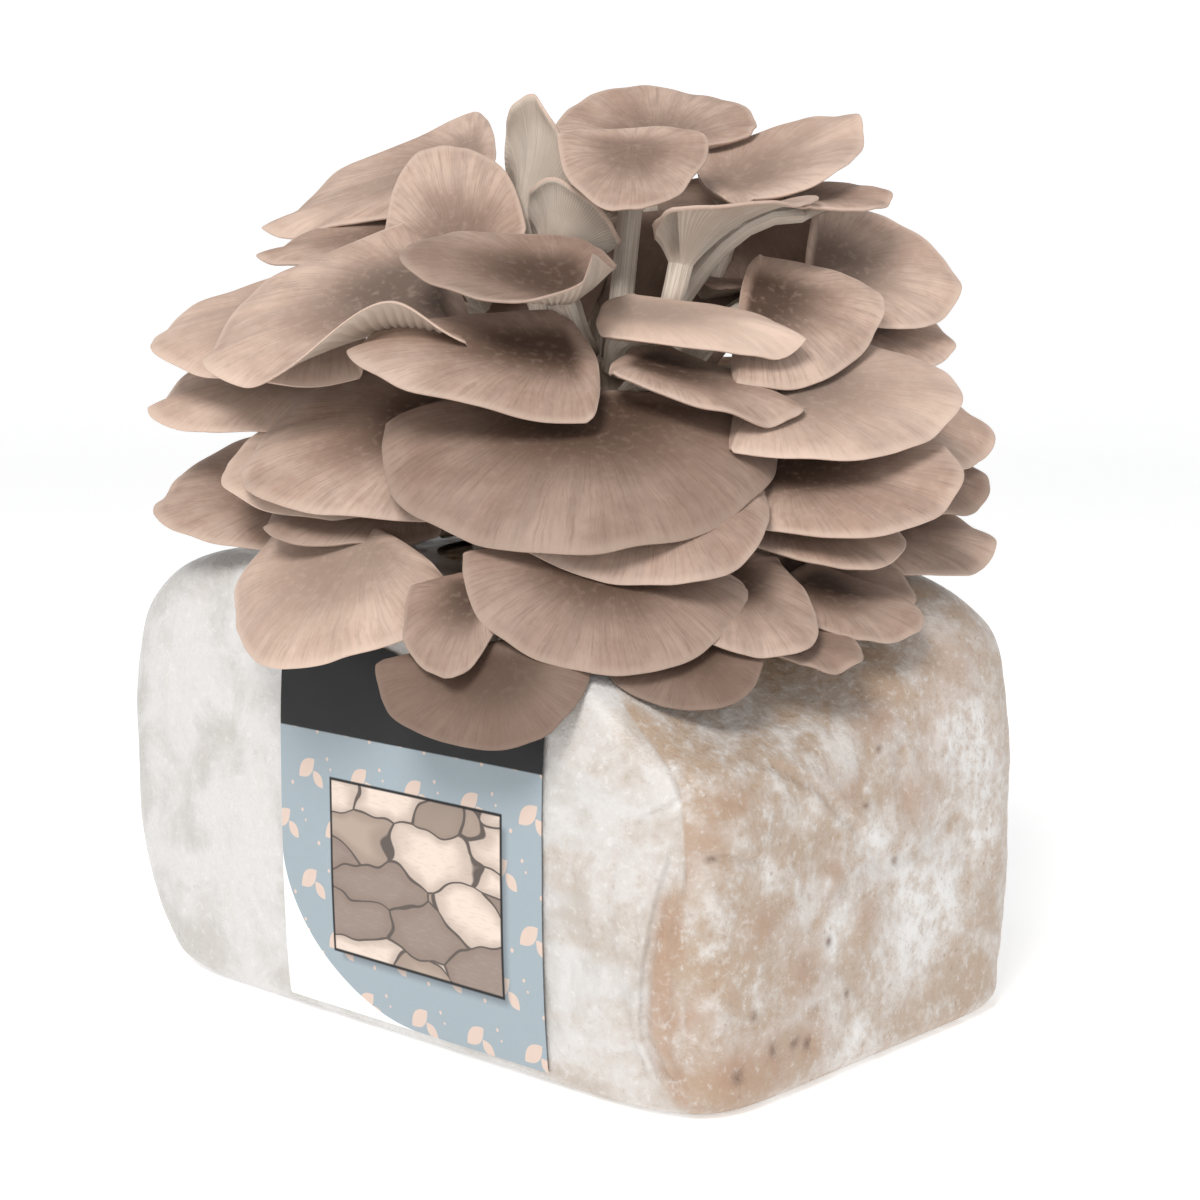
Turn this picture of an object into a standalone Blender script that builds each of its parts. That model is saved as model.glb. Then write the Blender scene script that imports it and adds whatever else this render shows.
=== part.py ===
"""Oyster mushroom grow block: a bagged block of sawdust medium, cut open at the
top, with one cluster of oyster mushrooms growing out of it.

The block stands upright on its flat base, origin at the middle of the footprint,
+Z up, front face towards -Y, folded end face towards +X. The cluster is laid out
in its own frame, turned by CLUSTER_TURN, in which -Y looks at the near corner.
"""
import math

import bmesh
import bpy
import numpy as np
from mathutils import Matrix, Vector

MM = 0.001

# bagged block, millimetres
BLOCK_TOP = 137.0
BLOCK_MIDDLE = (-4.0, -3.0)
REACH_LEFT, REACH_RIGHT = 136.0, 119.0
REACH_FRONT, REACH_BACK = 87.0, 80.0
CORNER_POWER = 9.0
FILM_THICKNESS = 0.4
MEDIUM_INSET = 2.2
OPENING = (54.0, 49.0)
OPENING_MIDDLE = (-4.0, 4.4)

# label on the front face, millimetres
LABEL_LEFT, LABEL_RIGHT = -48.0, 61.0
LABEL_BOTTOM, LABEL_TOP = 5.0, 118.0
LABEL_THICKNESS = 0.2
LABEL_GAP = 0.45

# cluster, millimetres and degrees
CLUSTER_TURN = 42.3
BASE_MIDDLE = np.array((0.0, 6.0, 137.0))
BASE_RADII = np.array((42.0, 37.0, 62.0))
BASE_SHRINK = 2.0
BASE_BOTTOM = 136.4
EDGE_THICKNESS = 1.0

# how far up the side each ring of the bag lies, and the angles of its columns
SIDE_HEIGHTS = (137.0, 132.0, 119.0, 94.0, 62.0, 26.0, 4.5, 0.0)
QUARTER = (0.0, 25.0, 36.5, 42.0, 48.0, 53.5, 65.0)

# stations down a mushroom: top skin, gill side, stem
TOP_STATIONS = (0.4, 0.8, 1.0)
GILL_STATIONS = (0.85, 0.4)
STEM_STATIONS = (0.0, 0.5, 1.0)

# Each mushroom: name, middle of the cap where the stem meets it, heading (0 to the
# viewer, 90 to the right), pitch and roll of the cap, its length outwards, half
# width, and what is special about it.
TRUMPET = dict(lean=15, flare=8, aim=137)
LOW = dict(lean=88, flare=3, core=3.2, stem=3.9)
MUSHROOMS = [
    # front, from the middle up
    ("mushroom_front_1", (-4, -38, 186.5), -4, -30, -2, 71, 63,
     dict(core=3.6, cup=6, bend=-18, side=-16, wave=(3, 5, 0), skew=-.03)),
    ("mushroom_front_2", (-12, -31, 202.6), -74, 0, -32, 65, 28, dict(cup=6, bend=-10, skew=.3, back=10)),
    ("mushroom_front_3", (14.6, -28.2, 198), 68, -18, 10, 50, 23, dict(cup=5, bend=-6, core=3.6)),
    ("mushroom_front_4", (8, -20, 213), 76, -4, 26, 56, 15.5, dict(cup=4, bend=-25, back=9, core=3.7)),
    ("mushroom_front_5", (48.4, -5.3, 218.5), 84, -10, 42, 40, 30, dict(skew=-.38, back=5, aim=172)),
    ("mushroom_front_6", (-12, -18, 224), -78, 2, -34, 50, 28,
     dict(back=17, cup=10, skew=.35, lean=35, curls=((125, 40, 75),))),
    # left side
    ("mushroom_left_1", (-52, -8, 221), -76, -14, -38, 74, 38, dict(bend=-10, curls=((70, 14, 90),), skew=.1)),
    ("mushroom_left_2", (-42, -25, 182.5), -80, -10, -34, 69, 42, dict(bend=-10)),
    ("mushroom_left_3", (-60, -14, 175.5), -78, -10, -40, 58, 28, dict(skew=.25)),
    ("mushroom_left_4", (-69.6, -49, 145.8), -60, -36, -13, 51, 49, dict(bend=-10, skew=.03, **LOW)),
    ("mushroom_left_5", (-84, 12, 219), -82, -14, -36, 60, 29, dict(skew=.45, aim=180, stem=3.8)),
    ("mushroom_left_6", (-60, 38, 238.5), -84, -8, -26, 52, 18, dict(aim=132, core=4, stem=4)),
    ("mushroom_left_7", (-42, 52, 262), -98, -16, -32, 76, 28, dict(skew=-.2, stem=3.5)),
    ("mushroom_left_8", (-86, 12, 198.8), -84, -15, -34, 59, 27, dict(skew=.2, aim=171)),
    ("mushroom_left_9", (-84, 6, 159.9), -82, -6, -34, 57, 32, dict()),
    # low caps hanging over the near corner
    ("mushroom_low_1", (2, -82, 145.5), -2, -36, -7, 41, 42, dict(LOW, bend=-16, core=3)),
    ("mushroom_low_2", (16, -58.4, 166.5), 8, -28, 2, 47, 42, dict(bend=-15, skew=-.2, core=2.9, flare=3.4)),
    ("mushroom_low_3", (34, -66, 141.2), 30, -27, 4, 42, 26, dict(skew=-.15, **LOW)),
    ("mushroom_low_4", (-32.9, -87.1, 138.1), -24, -38, 0, 32, 16.6,
     dict(bend=-14, skew=-.4, lean=80, flare=2, core=3, stem=3.5)),
    ("mushroom_low_5", (-27.8, -103.4, 119.2), -16, -54, 3, 25, 32,
     dict(bend=-10, skew=-.18, lean=88, flare=2, core=3, stem=3.5)),
    ("mushroom_low_6", (24, -94, 123.8), 14, -38, 2, 24, 24, dict(LOW, skew=-.1, stem=3.5)),
    # right side
    ("mushroom_right_1", (49.4, -22, 192.8), 76, -6, 28, 60, 38, dict(skew=-.1, back=6)),
    ("mushroom_right_2", (51.5, -36.5, 170), 74, -6, 32, 57, 34, dict()),
    ("mushroom_right_3", (52.9, -40, 154.3), 66, -14, 20, 40, 22, dict(core=4)),
    ("mushroom_right_4", (72, 8, 188.3), 88, -18, 30, 56, 28, dict(aim=164)),
    ("mushroom_right_5", (70, 2, 169), 86, -12, 26, 55, 26, dict()),
    ("mushroom_right_6", (70, -8, 150), 82, -10, 24, 54, 26, dict()),
    ("mushroom_right_7", (45.6, -72, 126), 52, -14, 8, 33, 18, dict(LOW, skew=.25, stem=3.4, core=3.2)),
    ("mushroom_right_8", (62, -50.6, 134.1), 65, -18, 12, 35, 24, dict(LOW)),
    ("mushroom_right_9", (68.8, 16, 226.6), 92, -10, 48, 47, 27.5, dict(skew=.2, back=4)),
    ("mushroom_right_10", (76, 17, 210.3), 92, -14, 40, 39, 17, dict(aim=173)),
    # crown
    ("mushroom_crown_1", (-44, 14, 228), -168, 46, -26, 46, 25, dict(cup=16, back=10, lean=15, flare=8, aim=122, stem=4)),
    ("mushroom_crown_2", (-18, 29, 245), -40, 66, 0, 36, 15, dict(cup=16, lean=66, flare=6, aim=137)),
    ("mushroom_crown_3", (-11, 12, 233.5), -30, 50, 0, 23, 15, dict(cup=14, lean=50, flare=6, aim=137, stem=3.6, skew=.3)),
    ("mushroom_crown_4", (10, 13, 263), 0, -44, 0, 35, 24, dict(cup=14, **TRUMPET)),
    ("mushroom_crown_5", (18.6, 42, 267), 180, 30, 0, 32, 34, dict(cup=12, stem=4, **TRUMPET)),
    ("mushroom_crown_6", (40.5, 25.4, 253.7), 100, 14, 25, 48, 27, dict(cup=14, skew=-.2, core=3.4, stem=3.9, **TRUMPET)),
    ("mushroom_crown_7", (64.1, 11.5, 248), 96, -4, 20, 28, 15,
     dict(cup=8, lean=88, flare=2, core=3.4, stem=3.1, aim=188)),
    ("mushroom_crown_8", (24, -4.4, 238.5), 88, 4, -4, 44, 18, dict(cup=12, skew=-.3, stem=3.8, **TRUMPET)),
]
# The far side, in three tiers: heading, distance out, height, pitch, length, half width.
BACK_ROWS = [
    (114, 62, 150, -14, 50, 30, dict(lean=80)),
    (144, 62, 160, -14, 50, 30, dict(lean=80)),
    (176, 62, 151, -14, 50, 30, dict(lean=80)),
    (208, 62, 160, -14, 50, 30, dict(lean=80)),
    (240, 62, 150.2, -14, 50, 30, dict(lean=80)),
    (126, 50, 174, -14, 56, 35, dict(lean=75, roll=12)),
    (174, 50, 187.6, -14, 56, 35, dict(lean=75, roll=12)),
    (222, 50, 176, -14, 56, 35, dict(lean=75, roll=12)),
    (152, 42, 196.8, -8, 54, 32, dict(lean=75)),
    (200, 42, 213.6, -8, 54, 32, dict(lean=75, skew=-.3, back=5)),
    (181, 52, 243, -36, 40, 32, dict(lean=60, aim=140, stem=3.5, skew=-.4, back=6)),
]
for number, (heading, out, height, pitch, length, width, other) in enumerate(BACK_ROWS, 1):
    turn = math.radians(heading)
    place = (out * math.sin(turn), 6 - out * math.cos(turn), height)
    MUSHROOMS.append(("mushroom_back_%d" % number, place, heading, pitch, other.pop("roll", 0), length, width, other))


def ramp(t):
    t = min(max(t, 0.0), 1.0)
    return t * t * (3 - 2 * t)


def tuck(z, low, high, middle=70.0):
    """how much the side pulls in towards the bottom and the top"""
    if z < middle:
        return low * (1 - z / middle) ** 3
    return high * ((z - middle) / (BLOCK_TOP - middle)) ** 3


def round_over(z, low, high):
    """how much rounded bottom and top edges of these radii pull the side in"""
    below = min(max(low - z, 0.0), low)
    above = min(max(z - (BLOCK_TOP - high), 0.0), high)
    return low - math.sqrt(low * low - below * below) + high - math.sqrt(high * high - above * above)


def bag_point(angle, height, inset=0.0):
    """point of the bag's outside at a column angle and a height up its side, in mm"""
    c, s = math.cos(angle), math.sin(angle)
    corner = (abs(c) ** CORNER_POWER + abs(s) ** CORNER_POWER) ** (-1 / CORNER_POWER)
    edge = round_over(height, 7.0, 26.0)
    if c < 0:
        along = REACH_LEFT - tuck(height, 24, 18) - edge
    else:
        along = REACH_RIGHT - tuck(height, 0, 22) - edge
    if s < 0:
        across = REACH_FRONT - tuck(height, 3, 6) - round_over(height, 7.0, 8.0)
    else:
        across = REACH_BACK - tuck(height, 8, 4) - edge
    x = BLOCK_MIDDLE[0] + (along - inset) * corner * c
    y = BLOCK_MIDDLE[1] + (across - inset) * corner * s
    return x, y, sag(x, y, height)


def sag(x, y, height):
    """the top sinks towards the near corner, where the caps hang over"""
    drop = (17 * ramp((x + 15) / 60) + 14 * ramp((x - 60) / 40)) * ramp((55 - y) / 90)
    return height - drop * min(max((height - 70) / 67, 0.0), 1.0)


def slope(cap, t, v):
    """degrees by which the flesh rises at share t of the way out, in direction v"""
    rise = cap["cup"] * np.clip(t / .35, 0, 1) ** 2 * (3 - 2 * np.clip(t / .35, 0, 1))
    rise = rise + cap["bend"] * t ** 2 - 25 * t ** 8 + cap["side"] * math.sin(v) ** 2 * t
    count, deep, shift = cap["wave"]
    rise = rise + deep * math.sin(count * v + shift) * t ** 2
    rise = rise + .6 * deep * math.sin((2 * count + 1) * v + 2 * shift + 1) * t ** 3
    for at, wide, degrees in cap["curls"]:
        off = (v - math.radians(at) + math.pi) % (2 * math.pi) - math.pi
        rise = rise + degrees * math.exp(-(off / math.radians(wide)) ** 2) * t ** 2
    return np.radians(rise)


def outline(cap, v):
    """the cap's edge seen from above, from the place where the stem joins"""
    x = (cap["length"] if math.cos(v) > 0 else cap["back"]) * math.cos(v)
    y = cap["width"] * math.sin(v) * (1 + cap["skew"] * math.sin(v))
    lobes = 1 + .03 * math.sin(5 * v) + .015 * math.sin(11 * v)
    return x * lobes, y * lobes


def skin(cap, t, v):
    """point of the top skin and its upward normal, in the cap's own frame"""
    x, y = outline(cap, v)
    reach = math.hypot(x, y)
    rise = slope(cap, np.linspace(0, t, 25), v)
    run, climb = np.cos(rise), np.sin(rise)
    out = (run[1:] + run[:-1]).mean() / 2 * t * reach
    up = (climb[1:] + climb[:-1]).mean() / 2 * t * reach
    wx, wy = x / reach, y / reach
    lean = float(rise[-1])
    return (np.array((out * wx, out * wy, up)),
            np.array((-math.sin(lean) * wx, -math.sin(lean) * wy, math.cos(lean))), reach)


def cap_axes(heading, pitch, roll):
    """length, width and upward axes of a cap in the cluster frame"""
    h, p, r = (math.radians(a) for a in (heading, pitch, roll))
    flat = np.array((math.sin(h), -math.cos(h), 0.0))
    up = np.array((0.0, 0.0, 1.0))
    length = flat * math.cos(p) + up * math.sin(p)
    normal = up * math.cos(p) - flat * math.sin(p)
    side = np.cross(normal, length)
    return length, side * math.cos(r) + normal * math.sin(r), normal * math.cos(r) - side * math.sin(r)


def stem_foot(cap, start):
    """where the stem lands on the fused base, and the direction it comes in from"""
    eye = np.array((BASE_MIDDLE[0], BASE_MIDDLE[1], cap.get("aim", 163 + .25 * (start[2] - 135))))
    way = start - eye
    way = way / np.linalg.norm(way)
    o, q = (eye - BASE_MIDDLE) / BASE_RADII, way / BASE_RADII
    a, b, c = q @ q, 2 * (o @ q), o @ o - 1
    far = (-b + math.sqrt(b * b - 4 * a * c)) / (2 * a)
    return eye + way * (far + .4), way


def ringed_body(name, segments, rings, place, open_top=False):
    """a sphere whose rings and columns are moved one by one to place(ring, angle)"""
    bm = bmesh.new()
    bmesh.ops.create_uvsphere(bm, u_segments=segments, v_segments=rings + 1, radius=1.0)
    top = None
    for vert in bm.verts:
        ring = round(math.acos(max(-1.0, min(1.0, vert.co.z))) / math.pi * (rings + 1))
        angle = math.atan2(vert.co.y, vert.co.x) % (2 * math.pi)
        if ring == 0:
            top = vert
        vert.co = Vector(place(ring, angle)) * MM
    if open_top:
        bmesh.ops.delete(bm, geom=[top], context='VERTS')
    mesh = bpy.data.meshes.new(name)
    bm.to_mesh(mesh)
    bm.free()
    mesh.shade_smooth()
    return bpy.data.objects.new(name, mesh)


def paint(obj, colour, roughness):
    material = bpy.data.materials.new(obj.name + "_surface")
    material.use_nodes = True
    shader = material.node_tree.nodes["Principled BSDF"]
    shader.inputs["Base Color"].default_value = (*colour, 1.0)
    shader.inputs["Roughness"].default_value = roughness
    shader.inputs["Metallic"].default_value = 0.0
    obj.data.materials.append(material)


def grow_mushroom(name, crown, heading, pitch, roll, length, width, other):
    cap = dict(length=length, width=width, back=8, skew=0.0, cup=0.0, bend=0.0, side=0.0,
               wave=(3, 6, 0), curls=(), core=3.9, flare=4.5, stem=4.2, lean=62)
    cap.update(other)
    crown = np.array(crown, float)
    axes = np.array(cap_axes(heading, pitch, roll))
    depth = cap["core"] + cap["flare"]
    start = crown - axes[2] * depth
    foot, way = stem_foot(cap, start)
    gap = float(np.linalg.norm(start - foot))
    lean = math.radians(cap["lean"])
    p0 = np.array((0.0, 0.0, -depth))
    p1 = p0 - np.array((math.sin(lean), 0.0, math.cos(lean))) * gap * .4
    p3 = axes @ (foot - crown)
    p2 = p3 + (axes @ way) * gap * .3

    def stem_ring(w, v):
        point = (1 - w) ** 3 * p0 + 3 * (1 - w) ** 2 * w * p1 + 3 * (1 - w) * w * w * p2 + w ** 3 * p3
        along = (1 - w) ** 2 * (p1 - p0) + 2 * (1 - w) * w * (p2 - p1) + w * w * (p3 - p2)
        along = along / np.linalg.norm(along)
        side = np.array((0.0, 1.0, 0.0)) - along * along[1]
        side = side / np.linalg.norm(side)
        front = np.cross(side, -along)
        radius = cap["stem"] * (1 - .15 * math.sin(math.pi * w) + .1 * w)
        return point + radius * (math.cos(v) * front + math.sin(v) * side)

    def place(ring, v):
        if ring == 0:
            return 0.0, 0.0, 0.0
        if ring <= len(TOP_STATIONS):
            return skin(cap, TOP_STATIONS[ring - 1], v)[0]
        ring -= len(TOP_STATIONS)
        if ring <= len(GILL_STATIONS):
            t = GILL_STATIONS[ring - 1]
            point, normal, reach = skin(cap, t, v)
            thick = EDGE_THICKNESS + (cap["core"] - EDGE_THICKNESS) * (1 - t) ** 1.3
            dip = cap["flare"] * math.exp(-max(reach * t - cap["stem"], 0) / 6)
            dip *= 1 - ramp(-math.cos(v)) * ramp(cap["lean"] / 70)      # none at the back, where the stem leaves
            return point - thick * normal - np.array((0.0, 0.0, dip))
        ring -= len(GILL_STATIONS)
        if ring <= len(STEM_STATIONS):
            return stem_ring(STEM_STATIONS[ring - 1], v)
        return p3

    segments = 12 if width > 29 else 10
    rings = len(TOP_STATIONS) + len(GILL_STATIONS) + len(STEM_STATIONS)
    obj = ringed_body(name, segments, rings, place)
    obj.location = Vector(crown) * MM
    obj.rotation_euler = Matrix(axes.tolist()).transposed().to_euler()
    return obj


def bag_column(angle):
    """the unequal column angles that put more columns on the upright edges"""
    count = 4 * len(QUARTER)
    index = round(angle / (2 * math.pi) * count) % count
    quarter, step = divmod(index, len(QUARTER))
    return math.radians(90 * quarter + QUARTER[step])


def make_film():
    def place(ring, angle):
        turn = bag_column(angle)
        if ring == 0:
            return OPENING_MIDDLE[0], OPENING_MIDDLE[1], BLOCK_TOP
        if ring == 1:
            x = OPENING_MIDDLE[0] + OPENING[0] * math.cos(turn)
            y = OPENING_MIDDLE[1] + OPENING[1] * math.sin(turn)
            return x, y, sag(x, y, BLOCK_TOP)
        if ring <= 1 + len(SIDE_HEIGHTS):
            return bag_point(turn, SIDE_HEIGHTS[ring - 2])
        return BLOCK_MIDDLE[0], BLOCK_MIDDLE[1], 0.0

    film = ringed_body("bag_film", 4 * len(QUARTER), 1 + len(SIDE_HEIGHTS), place, open_top=True)
    shell = film.modifiers.new("film", 'SOLIDIFY')
    shell.thickness = FILM_THICKNESS * MM
    shell.offset = -1.0
    return film


def make_medium():
    top = BLOCK_TOP - MEDIUM_INSET

    def lifted(x, y, z):
        return x, y, MEDIUM_INSET + z * (top - MEDIUM_INSET) / BLOCK_TOP

    def place(ring, angle):
        turn = bag_column(angle)
        if ring == 0:
            return lifted(OPENING_MIDDLE[0], OPENING_MIDDLE[1], BLOCK_TOP)
        if ring == 1:
            x = OPENING_MIDDLE[0] + OPENING[0] * math.cos(turn)
            y = OPENING_MIDDLE[1] + OPENING[1] * math.sin(turn)
            return lifted(x, y, sag(x, y, BLOCK_TOP))
        if ring <= 1 + len(SIDE_HEIGHTS):
            return lifted(*bag_point(turn, SIDE_HEIGHTS[ring - 2], MEDIUM_INSET))
        return lifted(BLOCK_MIDDLE[0], BLOCK_MIDDLE[1], 0.0)

    return ringed_body("substrate_block", 4 * len(QUARTER), 1 + len(SIDE_HEIGHTS), place)


def make_label():
    """a thin sheet that follows the front face, columns and rows as on the bag"""
    rows = [h for h in SIDE_HEIGHTS if LABEL_BOTTOM < h < LABEL_TOP]
    rows = [LABEL_BOTTOM] + sorted(rows) + [LABEL_TOP]
    turn = math.radians(-90)
    columns = [LABEL_LEFT, BLOCK_MIDDLE[0], 24.0, 51.0, LABEL_RIGHT]
    bm = bmesh.new()
    bmesh.ops.create_grid(bm, x_segments=len(columns) - 1, y_segments=len(rows) - 1, size=1.0)
    for vert in bm.verts:
        x = columns[round((vert.co.x + 1) / 2 * (len(columns) - 1))]
        height = rows[round((vert.co.y + 1) / 2 * (len(rows) - 1))]
        y = bag_point(turn, height)[1] - LABEL_GAP
        vert.co = Vector((x, y, sag(x, y, height))) * MM
    mesh = bpy.data.meshes.new("label")
    bm.to_mesh(mesh)
    bm.free()
    label = bpy.data.objects.new("label", mesh)
    sheet = label.modifiers.new("sheet", 'SOLIDIFY')
    sheet.thickness = LABEL_THICKNESS * MM
    sheet.offset = 1.0
    return label


def make_base():
    """the fused foot of the cluster, a half ellipsoid with a flat underside"""
    radii = BASE_RADII - BASE_SHRINK
    rings = 4

    def place(ring, angle):
        down = min(ring / rings, 1.0) * math.pi / 2
        if ring > rings:
            return BASE_MIDDLE[0], BASE_MIDDLE[1], BASE_BOTTOM
        return (BASE_MIDDLE[0] + radii[0] * math.sin(down) * math.cos(angle),
                BASE_MIDDLE[1] + radii[1] * math.sin(down) * math.sin(angle),
                BASE_BOTTOM + (BASE_MIDDLE[2] - BASE_BOTTOM + radii[2]) * math.cos(down))

    return ringed_body("cluster_base", 18, rings, place)


for old in list(bpy.data.objects):
    bpy.data.objects.remove(old, do_unlink=True)
grow_block = bpy.data.collections.new("mushroom_grow_block")
bpy.context.scene.collection.children.link(grow_block)

cluster = bpy.data.objects.new("cluster_frame", None)
cluster.rotation_euler = (0.0, 0.0, math.radians(CLUSTER_TURN))
grow_block.objects.link(cluster)

for make, colour, roughness in ((make_medium, (.42, .30, .19), .95), (make_film, (.78, .74, .68), .35),
                                (make_label, (.38, .47, .53), .6)):
    piece = make()
    paint(piece, colour, roughness)
    grow_block.objects.link(piece)

base = make_base()
paint(base, (.80, .75, .67), .7)
base.parent = cluster
grow_block.objects.link(base)

for spec in MUSHROOMS:
    mushroom = grow_mushroom(*spec)
    paint(mushroom, (.45, .33, .28), .75)
    mushroom.parent = cluster
    grow_block.objects.link(mushroom)
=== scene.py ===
import math

import bpy
import numpy as np
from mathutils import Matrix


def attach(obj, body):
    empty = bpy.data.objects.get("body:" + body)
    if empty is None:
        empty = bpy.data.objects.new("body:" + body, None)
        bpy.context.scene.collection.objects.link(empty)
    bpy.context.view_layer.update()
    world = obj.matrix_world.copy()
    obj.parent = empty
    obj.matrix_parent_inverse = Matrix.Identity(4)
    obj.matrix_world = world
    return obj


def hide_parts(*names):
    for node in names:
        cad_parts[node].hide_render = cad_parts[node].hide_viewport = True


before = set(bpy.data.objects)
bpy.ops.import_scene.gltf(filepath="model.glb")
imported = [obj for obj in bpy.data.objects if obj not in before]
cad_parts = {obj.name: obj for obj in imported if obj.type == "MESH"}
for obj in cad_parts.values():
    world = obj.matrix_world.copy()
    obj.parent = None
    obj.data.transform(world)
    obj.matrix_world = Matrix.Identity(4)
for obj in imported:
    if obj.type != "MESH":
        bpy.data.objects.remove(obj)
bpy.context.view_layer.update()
scene = bpy.context.scene
mm = 0.001
tau = 2 * math.pi
print("frame loaded:", len(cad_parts), "nodes")

# camera and light

view = dict(lens=69.0, place=(0.4826, -0.5303, 0.223), pitch=8.0, turn=42.3)
light = dict(sky=0.48, skyColour=(0.98, 0.985, 1.0), keyPower=18.5, keySize=0.7, keyColour=(1.0, 0.985, 0.96),
             fillPower=1.6, floorColour=(0.95, 0.95, 0.945), floorGlow=0.4)


def lookAt(thing, target):
    # turns a light or camera so that its -Z points at the target
    way = np.array(target) - np.array(thing.location)
    flat = math.hypot(way[0], way[1])
    thing.rotation_euler = (math.atan2(flat, -way[2]), 0, math.atan2(way[0], way[1]) * -1)


camera = bpy.data.objects.new("camera", bpy.data.cameras.new("camera"))
camera.data.lens = view["lens"]
camera.data.sensor_width = 36.0
camera.location = view["place"]
camera.rotation_euler = (math.radians(90 - view["pitch"]), 0, math.radians(view["turn"]))
scene.collection.objects.link(camera)
scene.camera = camera
scene.view_settings.view_transform = "Standard"

sky = bpy.data.worlds.new("studioSky")
sky.use_nodes = True
sky.node_tree.nodes["Background"].inputs["Color"].default_value = (*light["skyColour"], 1)
sky.node_tree.nodes["Background"].inputs["Strength"].default_value = light["sky"]
scene.world = sky


def softLight(name, place, size, power, colour, target=(0, 0, 0.14)):
    lamp = bpy.data.lights.new(name, "AREA")
    lamp.shape = "DISK"
    lamp.size = size
    lamp.energy = power
    lamp.color = colour
    thing = bpy.data.objects.new(name, lamp)
    thing.location = place
    lookAt(thing, target)
    scene.collection.objects.link(thing)


softLight("keyLight", (0.42, -1.05, 1.3), light["keySize"], light["keyPower"], light["keyColour"])
softLight("fillLight", (1.3, -0.1, 0.7), 1.0, light["fillPower"], (1, 1, 1))

# materials


def put(tree, kind, inputs=None, **settings):
    # adds one node: settings are its own properties, inputs are values or sockets by name or number
    made = tree.nodes.new("ShaderNode" + kind)
    for key, value in settings.items():
        setattr(made, key, value)
    for key, value in (inputs or {}).items():
        if isinstance(value, bpy.types.NodeSocket):
            tree.links.new(value, made.inputs[key])
        else:
            made.inputs[key].default_value = value
    return made


def calc(tree, operation, a, b=0.0, clamp=False):
    return put(tree, "Math", {0: a, 1: b}, operation=operation, use_clamp=clamp).outputs[0]


def times(tree, a, b, clamp=False):
    return calc(tree, "MULTIPLY", a, b, clamp)


def between(tree, value, low, high, toLow=0.0, toHigh=1.0):
    # smooth step from toLow to toHigh as value goes from low to high
    return put(tree, "MapRange", {"Value": value, "From Min": low, "From Max": high, "To Min": toLow,
                                  "To Max": toHigh}, interpolation_type="SMOOTHSTEP").outputs["Result"]


def blendColour(tree, share, first, second, how="MIX"):
    first = (*first, 1) if isinstance(first, tuple) and len(first) == 3 else first
    second = (*second, 1) if isinstance(second, tuple) and len(second) == 3 else second
    return put(tree, "MixRGB", {"Fac": share, "Color1": first, "Color2": second}, blend_type=how).outputs["Color"]


def grain(tree, vector, scale, detail=4.0, rough=0.55, twist=0.0):
    return put(tree, "TexNoise", {"Vector": vector, "Scale": scale, "Detail": detail, "Roughness": rough,
                                  "Distortion": twist}).outputs["Fac"]


def stretched(tree, vector, scale, place=(0, 0, 0), turned=(0, 0, 0)):
    return put(tree, "Mapping", {"Vector": vector, "Scale": scale, "Location": place, "Rotation": turned}).outputs[0]


def newFinish(name, roughness, specular=0.5):
    finish = bpy.data.materials.new(name)
    finish.use_nodes = True
    tree = finish.node_tree
    shader = tree.nodes["Principled BSDF"]
    shader.inputs["Roughness"].default_value = roughness
    shader.inputs["Specular IOR Level"].default_value = specular
    return finish, tree, shader


def relief(tree, shader, height, strength, distance):
    made = put(tree, "Bump", {"Height": height, "Strength": strength, "Distance": distance})
    tree.links.new(made.outputs["Normal"], shader.inputs["Normal"])


# deep is a near-black brown used for painted shade: the middle of covered caps and the darkest-toned caps
capLook = dict(pale=(0.62, 0.46, 0.375), flesh=(0.43, 0.29, 0.225), dark=(0.19, 0.115, 0.08), grey=(0.36, 0.27, 0.22),
               deep=(0.05, 0.025, 0.015), rim=(0.62, 0.475, 0.39), fibrils=44.0, roughness=0.6)
# how dark each cap is drawn, part its own tone and part painted shade on caps that sit in shade, such as low_5, low_6
# and the tucked caps: minus is pale, 0 is plain and 1 is dark; the rest get a small share by lot
capToneAndShade = dict(front_1=1.0, front_2=0.45, front_3=0.3, front_4=-0.7, front_6=0.85, left_1=-0.2, left_2=0.35,
                left_3=-0.5, left_4=-0.35, left_5=-0.35, left_7=-0.2, left_8=-0.3, left_9=0.3, low_1=0.9, low_2=0.4,
                low_3=0.5, low_4=0.75, low_5=1.8, low_6=1.6, right_1=-0.4, right_3=0.3, right_4=-0.15, right_5=0.75,
                right_7=0.9, right_8=0.5, right_9=-0.2, crown_4=0.35, crown_6=-0.25, crown_8=0.25, lip_corner_1=1.0,
                tuck_right_1=0.7, tuck_left_1=0.9, tuck_crown_1=1.0, tuck_crown_3=1.3, tuck_crown_4=1.4,
                tuck_crown_5=1.4)


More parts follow.
